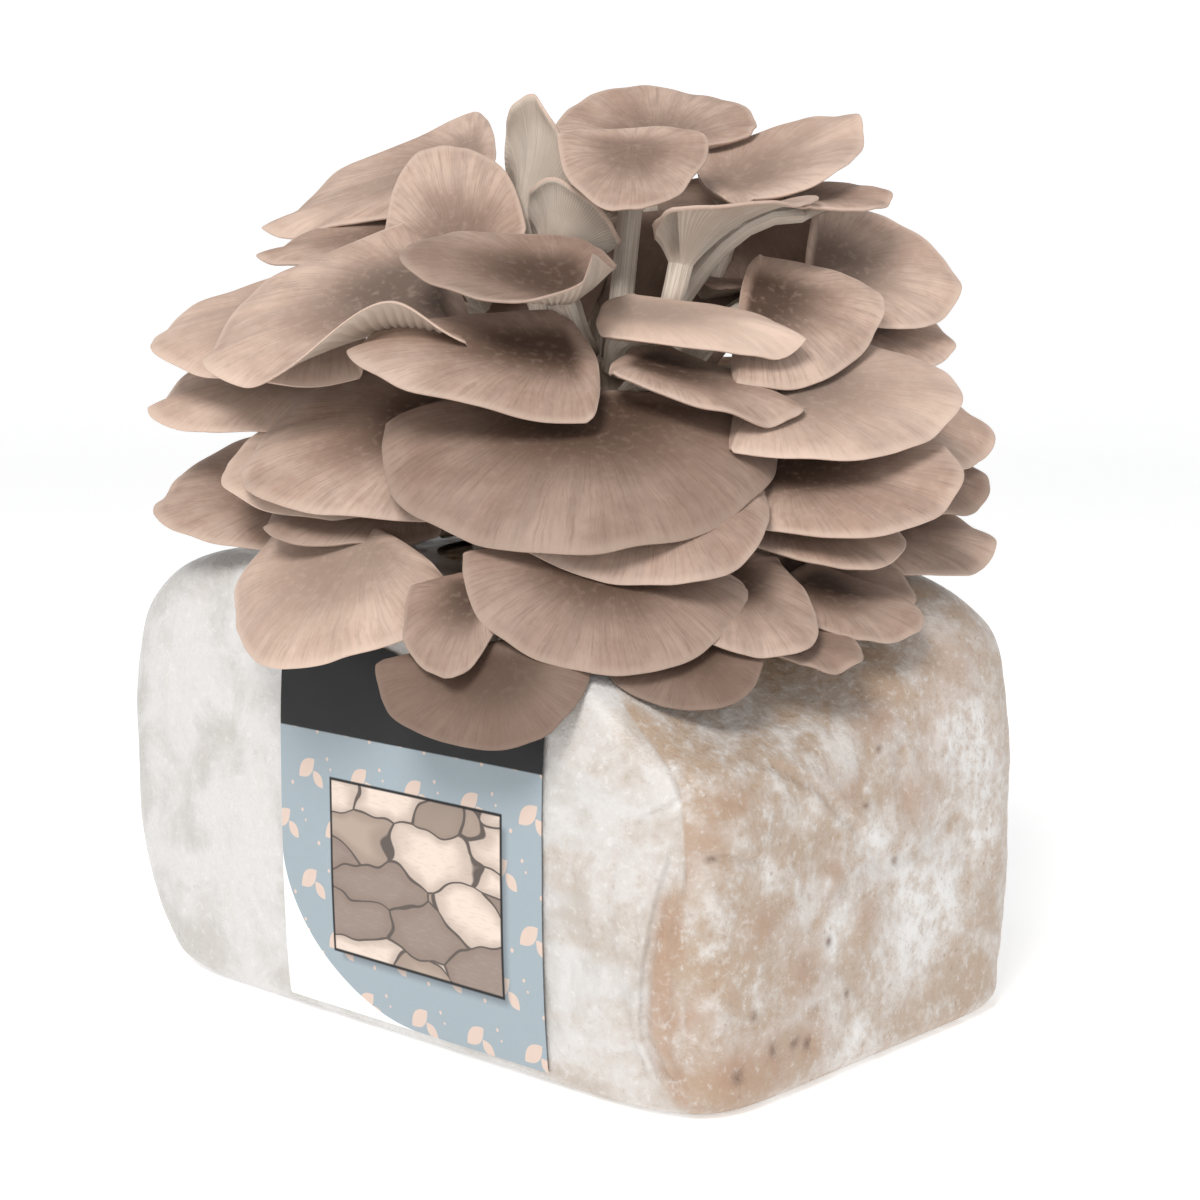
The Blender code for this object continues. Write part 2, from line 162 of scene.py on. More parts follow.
def capSkinFinish():
    # streaks run out from the middle: noise on (cos, sin, share of the way out), squeezed along the way
    look = capLook
    finish, tree, shader = newFinish("capSkin", look["roughness"], 0.35)
    ray = put(tree, "Attribute", attribute_name="ray").outputs["Vector"]
    out = put(tree, "SeparateXYZ", {0: ray}).outputs["Z"]
    toneAndShade = put(tree, "Attribute", attribute_name="toneAndShade").outputs["Fac"]
    place = put(tree, "TexCoord").outputs["Object"]
    wander = put(tree, "TexNoise", {"Vector": place, "Scale": 55.0, "Detail": 3.0}).outputs["Color"]
    bent = blendColour(tree, 0.1, ray, wander, "ADD")
    fine = grain(tree, stretched(tree, bent, (look["fibrils"], look["fibrils"], 2.6)), 1.0, 6, 0.65)
    broad = grain(tree, stretched(tree, ray, (7, 7, 1.6)), 1.0, 3, 0.55, 0.3)
    cloud = grain(tree, place, 42, 4, 0.6)
    speck = grain(tree, place, 420, 2, 0.5)
    base = blendColour(tree, between(tree, cloud, 0.35, 0.68), look["flesh"], look["pale"])
    base = blendColour(tree, times(tree, between(tree, broad, 0.42, 0.7), 0.5), base, look["grey"])
    streak = times(tree, between(tree, fine, 0.42, 0.72), between(tree, out, 0.05, 0.5, 0.2, 0.42))
    base = blendColour(tree, streak, base, look["dark"])
    # darker towards the middle: partly the flesh's own darker centre, and, scaled by a per-cap share, painted shade
    # where the caps above cover it
    depth = put(tree, "Attribute", attribute_name="paintedCentreShade").outputs["Fac"]
    base = blendColour(tree, times(tree, between(tree, out, 0.95, 0.25), 0.5), base, look["dark"])
    base = blendColour(tree, times(tree, between(tree, out, 0.74, 0.2), depth), base, look["deep"])
    base = blendColour(tree, times(tree, between(tree, speck, 0.5, 0.72), 0.16), base, look["pale"])
    edge = times(tree, between(tree, out, 0.93, 1.0), 0.6)
    base = blendColour(tree, edge, base, look["rim"])
    # towards dark and deep by tone: a cap's own duskiness, and painted shade on caps that sit in shade; minus tones
    # turn paler
    base = blendColour(tree, times(tree, toneAndShade, 0.3, clamp=True), base, look["dark"])
    base = blendColour(tree, times(tree, toneAndShade, 0.3, clamp=True), base, look["deep"])
    base = blendColour(tree, times(tree, toneAndShade, -0.7, clamp=True), base, look["rim"])
    tree.links.new(base, shader.inputs["Base Color"])
    height = calc(tree, "ADD", times(tree, fine, 0.7), times(tree, speck, 0.5))
    relief(tree, shader, height, 0.35, 0.0006)
    return finish


def gillFinish():
    # pale blades, with brown painted shade in the valleys between them
    finish, tree, shader = newFinish("gillBlades", 0.7, 0.25)
    ray = put(tree, "Attribute", attribute_name="ray").outputs["Vector"]
    paintedValleyShade = put(tree, "Attribute", attribute_name="paintedValleyShade").outputs["Fac"]
    place = put(tree, "TexCoord").outputs["Object"]
    fine = grain(tree, stretched(tree, ray, (60, 60, 1.2)), 1.0, 3, 0.5)
    cloud = grain(tree, place, 60, 3, 0.5)
    base = blendColour(tree, between(tree, cloud, 0.3, 0.7), (0.52, 0.43, 0.36), (0.64, 0.56, 0.48))
    # brown painted shade in the valleys between the blades
    base = blendColour(tree, times(tree, paintedValleyShade, 0.55), base, (0.36, 0.28, 0.22))
    base = blendColour(tree, times(tree, between(tree, fine, 0.5, 0.7), 0.35), base, (0.44, 0.36, 0.30))
    tree.links.new(base, shader.inputs["Base Color"])
    relief(tree, shader, fine, 0.3, 0.0008)
    return finish


def stemFinish():
    finish, tree, shader = newFinish("stemFlesh", 0.65, 0.3)
    place = put(tree, "TexCoord").outputs["Object"]
    ray = put(tree, "Attribute", attribute_name="ray").outputs["Vector"]
    fibre = grain(tree, stretched(tree, ray, (9, 9, 1.5)), 1.0, 4, 0.6)
    cloud = grain(tree, place, 90, 3, 0.5)
    base = blendColour(tree, between(tree, fibre, 0.35, 0.7), (0.70, 0.63, 0.55), (0.50, 0.40, 0.32))
    base = blendColour(tree, times(tree, between(tree, cloud, 0.5, 0.75), 0.4), base, (0.48, 0.38, 0.30))
    tree.links.new(base, shader.inputs["Base Color"])
    relief(tree, shader, fibre, 0.4, 0.0008)
    return finish


capSkin, gillBlades, stemFlesh = capSkinFinish(), gillFinish(), stemFinish()
print("mushroom finishes made")

# surfaces


def ramp(t):
    t = np.clip(t, 0.0, 1.0)
    return t * t * (3 - 2 * t)


def surface(name, points, finishes, wrap=False, start=None, end=None, ringSlot=None, fields=None):
    # quads between neighbouring rings and columns of points, in mm, with a fan to a pole at either end
    rings, columns = points.shape[:2]
    spans = columns if wrap else columns - 1
    verts = [points.reshape(-1, 3)]
    i, j = np.arange(rings - 1)[:, None], np.arange(spans)[None, :]
    k = (j + 1) % columns
    faces = np.stack([i * columns + j, (i + 1) * columns + j, (i + 1) * columns + k, i * columns + k], -1)
    share = np.linspace(0, 1, rings)[:, None]
    low, high, left, right = np.broadcast_arrays(share[:-1], share[1:], j / spans, (j + 1) / spans)
    slots = np.zeros(rings - 1, int) if ringSlot is None else np.asarray(ringSlot)
    faceSlots = [np.repeat(slots, spans)]
    allFaces = faces.reshape(-1, 4).tolist()
    allAround = [np.stack([left, low, left, high, right, high, right, low], -1).ravel()]

    def fan(pole, corners, around, slot):
        # triangles between one ring and a pole
        verts.append(np.asarray(pole, float)[None])
        allFaces.extend(np.stack(corners, -1).tolist())
        allAround.append(np.stack(around, -1).ravel())
        faceSlots.append(np.full(columns, slot))

    line = np.arange(columns)
    nextLine = (line + 1) % columns
    here, middle, after = line / columns, (line + 0.5) / columns, (line + 1) / columns
    bottom, top = np.zeros(columns), np.ones(columns)
    tip = np.full(columns, rings * columns)
    if start is not None:
        fan(start, [tip, line, nextLine], [middle, bottom, here, bottom, after, bottom], slots[0])
        tip = tip + 1
    if end is not None:
        last = (rings - 1) * columns
        fan(end, [last + line, tip, last + nextLine], [here, top, middle, top, after, top], slots[-1])
    mesh = bpy.data.meshes.new(name)
    mesh.from_pydata((np.concatenate(verts) * mm).tolist(), [], allFaces)
    uv = mesh.uv_layers.new(name="around")
    uv.data.foreach_set("uv", np.concatenate(allAround).astype(np.float32))
    for finish in finishes:
        mesh.materials.append(finish)
    mesh.polygons.foreach_set("material_index", np.concatenate(faceSlots).astype(np.int32))
    for key, (grid, atStart, atEnd) in (fields or {}).items():
        flat = [grid.reshape(rings * columns, -1)]
        if start is not None:
            flat.append(np.atleast_2d(atStart))
        if end is not None:
            flat.append(np.atleast_2d(atEnd))
        flat = np.concatenate(flat).astype(np.float32)
        kind = "FLOAT_VECTOR" if flat.shape[1] == 3 else "FLOAT"
        field = mesh.attributes.new(key, kind, "POINT")
        field.data.foreach_set("vector" if flat.shape[1] == 3 else "value", flat.ravel())
    mesh.shade_smooth()
    mesh.update()
    piece = bpy.data.objects.new(name, mesh)
    scene.collection.objects.link(piece)
    return piece


# mushrooms

cluster = dict(turn=42.3, foot=(0.0, 6.0, 137.0), footRadii=(42.0, 37.0, 62.0))
flesh = dict(edge=1.0, core=3.9, flare=4.5, stem=4.2, shrink=0.985, gillDepth=0.75, columns=240, topRings=17,
             gillRings=15, stemRings=8)


def slope(cap, t, v):
    # degrees by which the flesh rises at share t of the way out in direction v: cup near the middle, bend
    # and lip outwards, three broad waves, finer ripples near the edge, and curls round given directions
    rise = cap["cup"] * ramp(t / 0.35) + cap["bend"] * t ** 2 - 25 * t ** 8 + cap["side"] * np.sin(v) ** 2 * t
    count, deep, shift = cap["wave"]
    rise = rise + deep * np.sin(count * v + shift) * t ** 2
    rise = rise + 0.6 * deep * np.sin((2 * count + 1) * v + 2 * shift + 1) * t ** 3
    for at, wide, degrees in cap["curls"]:
        off = (v - math.radians(at) + math.pi) % tau - math.pi
        rise = rise + degrees * np.exp(-(off / math.radians(wide)) ** 2) * t ** 2
    for lobes, much, phase in cap["ripples"]:
        rise = rise + much * np.sin(lobes * v + phase) * t ** 4
    return np.radians(rise)


def outline(cap, v):
    # the edge seen from above: an egg of its length and half width, with slight lobes
    x = np.where(np.cos(v) > 0, cap["length"], cap["back"]) * np.cos(v)
    y = cap["width"] * np.sin(v) * (1 + cap["skew"] * np.sin(v))
    lobes = 1 + 0.016 * np.sin(5 * v) + 0.005 * np.sin(11 * v)
    for count, much, phase in cap["nicks"]:
        lobes = lobes - much * (0.5 + 0.5 * np.sin(count * v + phase)) ** 3
    shrink = cap.get("shrink", flesh["shrink"])
    return x * lobes * shrink, y * lobes * shrink


def skin(cap, t, v):
    # follows the slope outwards from the middle, so the point is the sum of its cosines and sines
    x, y = outline(cap, v)
    reach = np.hypot(x, y)
    steps = 64
    fine = np.linspace(0, 1, steps + 1)[:, None]
    rise = slope(cap, fine, v[None, :])
    run, climb = np.cos(rise), np.sin(rise)
    start = np.zeros((1, v.size))
    run = np.vstack([start, np.cumsum(run[1:] + run[:-1], 0)]) / (2 * steps)
    climb = np.vstack([start, np.cumsum(climb[1:] + climb[:-1], 0)]) / (2 * steps)
    at = np.clip(np.broadcast_to(t, (len(t), v.size)), 0, 1) * steps
    low = np.minimum(at.astype(int), steps - 1)
    part = at - low
    pick = np.take_along_axis
    out = (pick(run, low, 0) * (1 - part) + pick(run, low + 1, 0) * part) * reach
    up = (pick(climb, low, 0) * (1 - part) + pick(climb, low + 1, 0) * part) * reach
    lean = slope(cap, at / steps, v[None, :])
    wx, wy = x / reach, y / reach
    point = np.stack([out * wx, out * wy, up], -1)
    normal = np.stack([-np.sin(lean) * wx, -np.sin(lean) * wy, np.cos(lean)], -1)
    return point, normal, reach


def capAxes(heading, pitch, roll):
    # length, width and upward axes of a cap in the cluster's own frame
    h, p, r = np.radians([heading, pitch, roll])
    flat, up = np.array((math.sin(h), -math.cos(h), 0.0)), np.array((0.0, 0.0, 1.0))
    length = flat * math.cos(p) + up * math.sin(p)
    normal = up * math.cos(p) - flat * math.sin(p)
    side = np.cross(normal, length)
    return np.array([length, side * math.cos(r) + normal * math.sin(r), normal * math.cos(r) - side * math.sin(r)])


def stemFoot(cap, start):
    # where a line from a point on the foot's axis through the start leaves the foot's ellipsoid
    middle, radii = np.array(cluster["foot"]), np.array(cluster["footRadii"])
    eye = np.array((middle[0], middle[1], cap.get("aim", 163 + 0.25 * (start[2] - 135))))
    way = (start - eye) / np.linalg.norm(start - eye)
    o, q = (eye - middle) / radii, way / radii
    a, b, c = q @ q, 2 * (o @ q), o @ o - 1
    return eye + way * ((-b + math.sqrt(b * b - 4 * a * c)) / (2 * a) + 0.4), way


def toBlock(points):
    # from the cluster's frame to the block's
    a = math.radians(cluster["turn"])
    x, y = points[..., 0], points[..., 1]
    return np.stack([x * math.cos(a) - y * math.sin(a), x * math.sin(a) + y * math.cos(a), points[..., 2]], -1)


def growMushroom(name, crown, heading, pitch, roll, length, width, other, seed, columns=None):
    cap = dict(length=length, width=width, back=8, skew=0.0, cup=0.0, bend=0.0, side=0.0, wave=(3, 6, 0), curls=(),
               core=flesh["core"], flare=flesh["flare"], stem=flesh["stem"], lean=62)
    cap.update(other)
    dice = np.random.default_rng(seed)
    turns = dice.uniform(0, tau, 6)
    cap.setdefault("ripples", ((7, 3.0, turns[0]), (11, 2.0, turns[1]), (19, 1.0, turns[2])))
    cap.setdefault("nicks", ((3, 0.012, turns[3]), (7, 0.008, turns[4]), (16, 0.003, turns[5])))
    columns = columns or flesh["columns"]
    v = np.arange(columns) / columns * tau
    crown = np.array(crown, float)
    axes = capAxes(heading, pitch, roll)
    depth = cap["core"] + cap["flare"]
    start = crown - axes[2] * depth
    foot, way = stemFoot(cap, start)
    gap = float(np.linalg.norm(start - foot))
    lean = math.radians(cap["lean"])
    p0 = np.array((0.0, 0.0, -depth))
    p1 = p0 - np.array((math.sin(lean), 0.0, math.cos(lean))) * gap * 0.4
    p3 = axes @ (foot - crown)
    p2 = p3 + (axes @ way) * gap * 0.3

    def stemRing(w):
        # a circle carried along a Bezier curve from under the cap to the foot, waisted half way
        w = np.asarray(w)[:, None]
        point = (1 - w) ** 3 * p0 + 3 * (1 - w) ** 2 * w * p1 + 3 * (1 - w) * w * w * p2 + w ** 3 * p3
        along = (1 - w) ** 2 * (p1 - p0) + 2 * (1 - w) * w * (p2 - p1) + w * w * (p3 - p2)
        along /= np.linalg.norm(along, axis=1, keepdims=True)
        side = np.array((0.0, 1.0, 0.0)) - along * along[:, 1:2]
        side /= np.linalg.norm(side, axis=1, keepdims=True)
        front = np.cross(side, -along)
        radius = cap["stem"] * (1 - 0.15 * np.sin(np.pi * w) + 0.1 * w)
        radius = radius * (1 + 0.035 * np.sin(5 * v + 4 * w + turns[0]) + 0.02 * np.sin(11 * v + turns[1]))
        return (point[:, None] + radius[..., None] * (np.cos(v)[None, :, None] * front[:, None]
                                                      + np.sin(v)[None, :, None] * side[:, None]))

    # top skin, closer rings towards the edge
    t = np.sin(np.linspace(0.03, 1, flesh["topRings"]) * math.pi / 2)[:, None]
    top, _, _ = skin(cap, t, v)
    # rounded edge: half a turn round a circle as thick as the flesh there
    edgePoint, edgeNormal, reach = skin(cap, np.ones((1, 1)), v)
    outward = edgePoint / np.linalg.norm(edgePoint, axis=-1, keepdims=True)
    bend = np.array([0.25, 0.5, 0.75])[:, None, None] * math.pi
    rim = edgePoint + flesh["edge"] / 2 * (np.sin(bend) * outward - (1 - np.cos(bend)) * edgeNormal)
    # gill side: the flesh thickens inwards, with blades that alternate from column to column
    s = np.linspace(0, 1, flesh["gillRings"])[:, None]
    inner = np.minimum(cap["stem"] / reach, 0.9)
    tUnder = 1 + (inner - 1) * s
    under, normal, _ = skin(cap, tUnder, v)
    thick = flesh["edge"] + (cap["core"] - flesh["edge"]) * (1 - tUnder) ** 1.3
    dip = cap["flare"] * np.exp(-np.maximum(reach * tUnder - cap["stem"], 0) / 6)
    dip = dip * (1 - ramp(-np.cos(v)) * ramp(cap["lean"] / 70))
    blade = (np.arange(columns) % 2)[None, :] * np.ones_like(s)
    deep = flesh["gillDepth"] * ramp(s / 0.12) * (1 - ramp((s - 0.75) / 0.25))
    under = under - (thick - deep * blade)[..., None] * normal
    under[..., 2] -= dip
    blend = ramp((s - 0.55) / 0.45)[..., None]
    under = under * (1 - blend) + stemRing([0.0]) * blend
    w = np.linspace(0, 1, flesh["stemRings"] + 1)[1:]
    stalk = stemRing(w)
    rings = np.concatenate([top, rim, under, stalk])
    counts = [len(top), len(rim), len(under), len(stalk)]
    out = np.concatenate([t[:, 0], np.ones(len(rim)), np.linspace(1, 0.1, len(under)), -w])
    ray = np.stack([np.broadcast_to(np.cos(v), rings.shape[:2]), np.broadcast_to(np.sin(v), rings.shape[:2]),
                    np.broadcast_to(out[:, None], rings.shape[:2])], -1)
    # mask for the painted shade in the valleys between the gill blades
    paintedValleyShade = np.zeros(rings.shape[:2])
    firstGill = counts[0] + counts[1]
    paintedValleyShade[firstGill:firstGill + counts[2]] = blade * ramp(s / 0.1) * (1 - ramp((s - 0.7) / 0.3))
    toneAndShade = np.full(rings.shape[:2], capToneAndShade.get(name.replace("fine_mushroom_", ""), dice.uniform(0.0, 0.25)))
    # per-cap share of painted shade in the middle, where the caps above would cover it
    inTheOpen = "crown" in name or name[-6:] in ("left_4", "left_5", "left_6", "left_7")
    paintedCentreShade = np.full(rings.shape[:2], 0.35 if inTheOpen else 0.92)  # caps in the open are less dark in the middle
    slots = np.repeat([0, 1, 2], [firstGill, counts[2] - 1, counts[3]])
    place = toBlock(crown + rings @ axes)
    tip = toBlock(crown + p3 @ axes)
    piece = surface(name, place, (capSkin, gillBlades, stemFlesh), wrap=True, start=toBlock(crown), end=tip,
                    ringSlot=slots, fields=dict(ray=(ray, (1, 0, 0), (1, 0, -1)), paintedValleyShade=(paintedValleyShade, 0, 0),
                                                toneAndShade=(toneAndShade, toneAndShade[0, 0], toneAndShade[0, 0]),
                                                paintedCentreShade=(paintedCentreShade, paintedCentreShade[0, 0], paintedCentreShade[0, 0])))
    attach(piece, "root")
    return piece


trumpet = dict(lean=15, flare=8, aim=137)
low = dict(lean=88, flare=3, core=3.2, stem=3.9)
# name, crown, heading, pitch, roll, length, half width, and what differs from the plain cap
mushrooms = [
    # front, from the middle up
    ("mushroom_front_1", (-4, -38, 186.5), -4, -30, -2, 71, 63,
     dict(core=3.6, cup=6, bend=-18, side=-16, wave=(3, 5, 0), skew=-0.03)),
    ("mushroom_front_2", (-12, -31, 202.6), -74, 0, -32, 65, 28, dict(cup=6, bend=-10, skew=0.3, back=10)),
    ("mushroom_front_3", (14.6, -28.2, 198), 68, -18, 10, 50, 23, dict(cup=5, bend=-6, core=3.6)),
    ("mushroom_front_4", (8, -20, 213), 76, -4, 26, 56, 15.5, dict(cup=4, bend=-25, back=9, core=3.7)),
    ("mushroom_front_5", (48.4, -5.3, 218.5), 84, -10, 42, 40, 30, dict(skew=-0.38, back=5, aim=172)),
    ("mushroom_front_6", (-12, -18, 224), -78, 2, -34, 50, 28,
     dict(back=17, cup=10, skew=0.35, lean=35, curls=((122, 50, 125),))),
    # left side
    ("mushroom_left_1", (-52, -8, 221), -76, -14, -38, 74, 38, dict(bend=-10, curls=((72, 24, 120),), skew=0.1)),
    ("mushroom_left_2", (-42, -25, 182.5), -80, -10, -34, 69, 42, dict(bend=-10)),
    ("mushroom_left_3", (-60, -14, 175.5), -78, -10, -40, 58, 28, dict(skew=0.25)),
    ("mushroom_left_4", (-69.6, -49, 145.8), -60, -36, -13, 51, 49, dict(bend=-10, skew=0.03, shrink=0.925, **low)),
    ("mushroom_left_5", (-84, 12, 219), -82, -14, -36, 60, 29, dict(skew=0.45, aim=180, stem=3.8)),
    ("mushroom_left_6", (-60, 38, 238.5), -84, -8, -26, 52, 18, dict(aim=132, core=4, stem=4)),
    ("mushroom_left_7", (-42, 52, 262), -98, -16, -32, 76, 28, dict(skew=-0.2, stem=3.5)),
    ("mushroom_left_8", (-86, 12, 198.8), -84, -15, -34, 59, 27, dict(skew=0.2, aim=171)),
    ("mushroom_left_9", (-84, 6, 159.9), -82, -6, -34, 57, 32, dict()),
    # low caps hanging over the near corner
    ("mushroom_low_1", (2, -82, 145.5), -2, -36, -7, 41, 42, dict(low, bend=-16, core=3)),
    ("mushroom_low_2", (16, -58.4, 166.5), 8, -28, 2, 47, 42, dict(bend=-15, skew=-0.2, core=2.9, flare=3.4)),
    ("mushroom_low_3", (34, -66, 141.2), 30, -27, 4, 42, 26, dict(skew=-0.15, **low)),
    ("mushroom_low_4", (-32.9, -87.1, 138.1), -24, -38, 0, 32, 16.6,
     dict(bend=-14, skew=-0.4, lean=80, flare=2, core=3, stem=3.5)),
    ("mushroom_low_5", (-27.8, -103.4, 119.2), -16, -54, 3, 25, 32,
     dict(bend=-10, skew=-0.18, lean=88, flare=2, core=3, stem=3.5)),
    ("mushroom_low_6", (24, -94, 123.8), 14, -38, 2, 24, 24, dict(low, skew=-0.1, stem=3.5)),
    # right side
    ("mushroom_right_1", (49.4, -22, 192.8), 76, -6, 28, 60, 38, dict(skew=-0.1, back=6)),
    ("mushroom_right_2", (51.5, -36.5, 170), 74, -6, 32, 57, 34, dict()),
    ("mushroom_right_3", (52.9, -40, 154.3), 66, -14, 20, 40, 22, dict(core=4)),
    ("mushroom_right_4", (72, 8, 188.3), 88, -18, 30, 56, 28, dict(aim=164)),
    ("mushroom_right_5", (70, 2, 169), 86, -12, 26, 55, 26, dict()),
    ("mushroom_right_6", (70, -8, 150), 82, -10, 24, 54, 26, dict()),
    ("mushroom_right_7", (45.6, -72, 126), 52, -14, 8, 33, 18, dict(low, skew=0.25, stem=3.4, core=3.2)),
    ("mushroom_right_8", (62, -50.6, 134.1), 65, -18, 12, 35, 24, dict(low)),
    ("mushroom_right_9", (68.8, 16, 226.6), 92, -10, 48, 47, 27.5, dict(skew=0.2, back=4)),
    ("mushroom_right_10", (76, 17, 210.3), 92, -14, 40, 39, 17, dict(aim=173)),
    # crown
    ("mushroom_crown_1", (-44, 14, 228), -168, 46, -26, 46, 25,
     dict(cup=16, back=10, lean=15, flare=8, aim=122, stem=4)),
    ("mushroom_crown_2", (-18, 29, 245), -40, 66, 0, 36, 15, dict(cup=16, lean=66, flare=6, aim=137)),
    ("mushroom_crown_3", (-11, 12, 233.5), -30, 50, 0, 23, 15,
     dict(cup=14, lean=50, flare=6, aim=137, stem=3.6, skew=0.3)),
    ("mushroom_crown_4", (10, 13, 263), 0, -44, 0, 35, 24, dict(cup=14, **trumpet)),
    ("mushroom_crown_5", (18.6, 42, 267), 180, 30, 0, 32, 34, dict(cup=12, stem=4, shrink=0.975, **trumpet)),
    ("mushroom_crown_6", (40.5, 25.4, 253.7), 100, 14, 25, 48, 27,
     dict(cup=14, skew=-0.2, core=3.4, stem=3.9, **trumpet)),
    ("mushroom_crown_7", (64.1, 11.5, 248), 96, -4, 20, 28, 15,
     dict(cup=8, lean=88, flare=2, core=3.4, stem=3.1, aim=188)),
    ("mushroom_crown_8", (24, -4.4, 238.5), 88, 4, -4, 44, 18, dict(cup=12, skew=-0.3, stem=3.8, **trumpet)),
]
# far side, in three tiers: heading, distance out, height, pitch, length, half width
backRows = [
    (114, 62, 150, -14, 50, 30, dict(lean=80)),
    (144, 62, 160, -14, 50, 30, dict(lean=80)),
    (176, 62, 151, -14, 50, 30, dict(lean=80)),
    (208, 62, 160, -14, 50, 30, dict(lean=80)),
    (240, 62, 150.2, -14, 50, 30, dict(lean=80)),
    (126, 50, 174, -14, 56, 35, dict(lean=75, roll=12)),
    (174, 50, 187.6, -14, 56, 35, dict(lean=75, roll=12)),
    (222, 50, 176, -14, 56, 35, dict(lean=75, roll=12)),
    (152, 42, 196.8, -8, 54, 32, dict(lean=75)),
    (200, 42, 213.6, -8, 54, 32, dict(lean=75, skew=-0.3, back=5)),
    (181, 52, 243, -36, 40, 32, dict(lean=60, aim=140, stem=3.5, skew=-0.4, back=6)),
]
for number, (heading, out, height, pitch, length, width, other) in enumerate(backRows, 1):
    turn = math.radians(heading)
    place = (out * math.sin(turn), 6 - out * math.cos(turn), height)
    mushrooms.append(("mushroom_back_%d" % number, place, heading, pitch, other.pop("roll", 0), length, width, other))
for number, (name, crown, heading, pitch, roll, length, width, other) in enumerate(mushrooms):
    hidden = name.startswith("mushroom_back")
    piece = growMushroom("fine_" + name, crown, heading, pitch, roll, length, width, other, 100 + number,
                         170 if hidden else None)
    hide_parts(name)
print("mushrooms grown:", len(mushrooms))

# small caps and lips that only show between the large ones, drawn dark by their tones as painted shade in those gaps
smallCaps = [
    ("lip_corner_1", (4, -84, 133), -14, -44, 0, 26, 30, dict(low, bend=-14, core=2.2, flare=1, stem=3, skew=-0.15)),
    ("tuck_right_1", (58, -36, 139), 72, -16, 24, 38, 22, dict(low, core=2.6)),
    ("tuck_crown_1", (32, 30, 224), 112, -6, 14, 44, 30, dict(cup=8)),
    ("tuck_crown_3", (48, 46, 250), 0, -60, 0, 42, 30, dict(lean=30)),
    ("tuck_crown_4", (24, 38, 238), 0, -62, 0, 54, 28, dict(lean=30)),
    ("tuck_crown_5", (-26, 34, 236), 0, -62, 0, 48, 30, dict(lean=30)),
    ("tuck_left_1", (-58, -24, 160), -70, -12, -24, 46, 26, dict(low, core=2.6)),
]
for number, (name, crown, heading, pitch, roll, length, width, other) in enumerate(smallCaps):
    growMushroom(name, crown, heading, pitch, roll, length, width, other, 300 + number, 160)

baseLook = dict(inset=1.6, lumps=1.6, bottom=136.5, rings=60, columns=120)


def growBase():
    # the dense foot that the stems grow from: the CAD foot's ellipsoid, with lumps from three crossed waves
    u = np.linspace(0, tau, baseLook["columns"], endpoint=False)[None, :]
    drop = np.linspace(0.04, 1, baseLook["rings"])[:, None]
    height = np.cos(drop * math.pi / 2)
    wide = np.sqrt(np.clip(1 - height ** 2, 0, 1))
    a, b, c = np.array(cluster["footRadii"]) - baseLook["inset"]
    lump = np.sin(5 * u + 12 * height) * np.sin(9 * height + 2 * u) + 0.6 * np.sin(11 * u + 14 * height)
    lump = baseLook["lumps"] * lump * wide * np.minimum(1, height * 6)
    east, north = (a + lump) * wide * np.cos(u), (b + lump) * wide * np.sin(u)
    points = np.stack([east, north, (c + 0.5 * lump) * height], -1) + np.array(cluster["foot"])
    points[-1, :, 2] = baseLook["bottom"]
    ray = np.stack(np.broadcast_arrays(np.cos(u), np.sin(u), -height), -1)
    x, y, z = cluster["foot"]
    crown, under = toBlock(np.array([(x, y, z + c), (x, y, baseLook["bottom"])]))
    piece = surface("fine_cluster_base", toBlock(points), (stemFlesh,), wrap=True, start=crown, end=under,
                    fields=dict(ray=(ray, (1, 0, -1), (1, 0, 0))))
    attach(piece, "root")
    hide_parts("cluster_base")


growBase()
print("foot grown")

# bag

bag = dict(top=137.0, waist=70.0, highEdge=26.0, lowEdge=7.0, middle=(-4.0, -3.0), left=136.0, right=119.0, front=87.0,
           back=80.0, power=9, columns=540, sideRings=104, opening=(54.0, 49.0), openingMiddle=(-4.0, 4.4),
           inset=0.12, floorGap=0.02, deepestDent=1.7, waveDepth=0.5, warm=(0.39, 0.285, 0.205),
           brown=(0.36, 0.22, 0.14), white=(0.60, 0.585, 0.575), grey=(0.47, 0.45, 0.425),
           bleached=(0.72, 0.71, 0.70), roughness=0.33)


def aboveWaist(height):
    return (height - bag["waist"]) / (bag["top"] - bag["waist"])


def tuckIn(height, lowPart, highPart):
    # how far a side leans in towards the bottom and the top, as the cube of the distance from half way up
    below = lowPart * (1 - height / bag["waist"]) ** 3
    return np.where(height < bag["waist"], below, highPart * np.maximum(aboveWaist(height), 0) ** 3)


def roundOver(height, lowPart, highPart):
    # quarter circles at the bottom and top edges
    below, above = np.clip(lowPart - height, 0, lowPart), np.clip(height - (bag["top"] - highPart), 0, highPart)
    return lowPart - np.sqrt(lowPart ** 2 - below ** 2) + highPart - np.sqrt(highPart ** 2 - above ** 2)


def sag(x, y, height):
    # the top drops towards the near end
    fall = (17 * ramp((x + 15) / 60) + 14 * ramp((x - 60) / 40)) * ramp((55 - y) / 90)
    return height - fall * np.clip(aboveWaist(height), 0, 1)


def bagPoint(angle, height, inset=0.0):
    # a rounded rectangle as a superellipse whose half lengths change with height
    c, s = np.cos(angle), np.sin(angle)
    corner = (np.abs(c) ** bag["power"] + np.abs(s) ** bag["power"]) ** (-1 / bag["power"])
    edge = roundOver(height, bag["lowEdge"], bag["highEdge"])
    along = np.where(c < 0, bag["left"] - tuckIn(height, 24, 18) - edge, bag["right"] - tuckIn(height, 0, 22) - edge)
    across = np.where(s < 0, bag["front"] - tuckIn(height, 3, 6) - roundOver(height, bag["lowEdge"], 8),
                      bag["back"] - tuckIn(height, 8, 4) - edge)
    x = bag["middle"][0] + (along - inset) * corner * c
    y = bag["middle"][1] + (across - inset) * corner * s
    return np.stack([x, y, sag(x, y, height)], -1)


